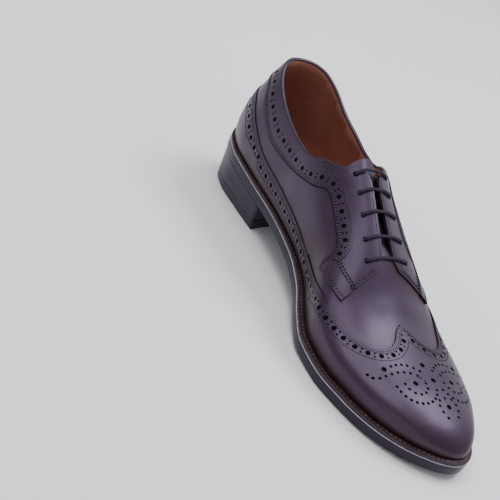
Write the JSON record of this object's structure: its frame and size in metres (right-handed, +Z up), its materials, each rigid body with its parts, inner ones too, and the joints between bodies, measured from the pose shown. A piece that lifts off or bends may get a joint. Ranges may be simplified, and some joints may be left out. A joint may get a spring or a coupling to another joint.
{
  "type": "brogue shoe",
  "caption": "Right wing-tip derby brogue: hollow leather upper with open lacing, tongue, insole, welt, outsole and stacked heel.",
  "frame": {"origin": "centre of the heel's flat face on the floor", "axes": "+X to the toe, +Y to the foot's inner (medial) side, +Z up, floor at Z = 0"},
  "size_m": [0.2988, 0.1004, 0.0983],
  "materials": {
    "leather": "smooth polished dark aubergine",
    "lining": "plain tan, matt",
    "welt": "dyed dark, satin",
    "sole": "dark, satin edge",
    "cord": "round waxed lace"
  },
  "bodies": {
    "root": {"upper": "leather", "tongue": "leather", "insole": "lining", "welt": "welt", "outsole": "sole", "heel": "sole", "lace_bar_1": "cord", "lace_bar_2": "cord", "lace_bar_3": "cord", "lace_bar_4": "cord", "lace_bar_5": "cord"}
  },
  "joints": []
}
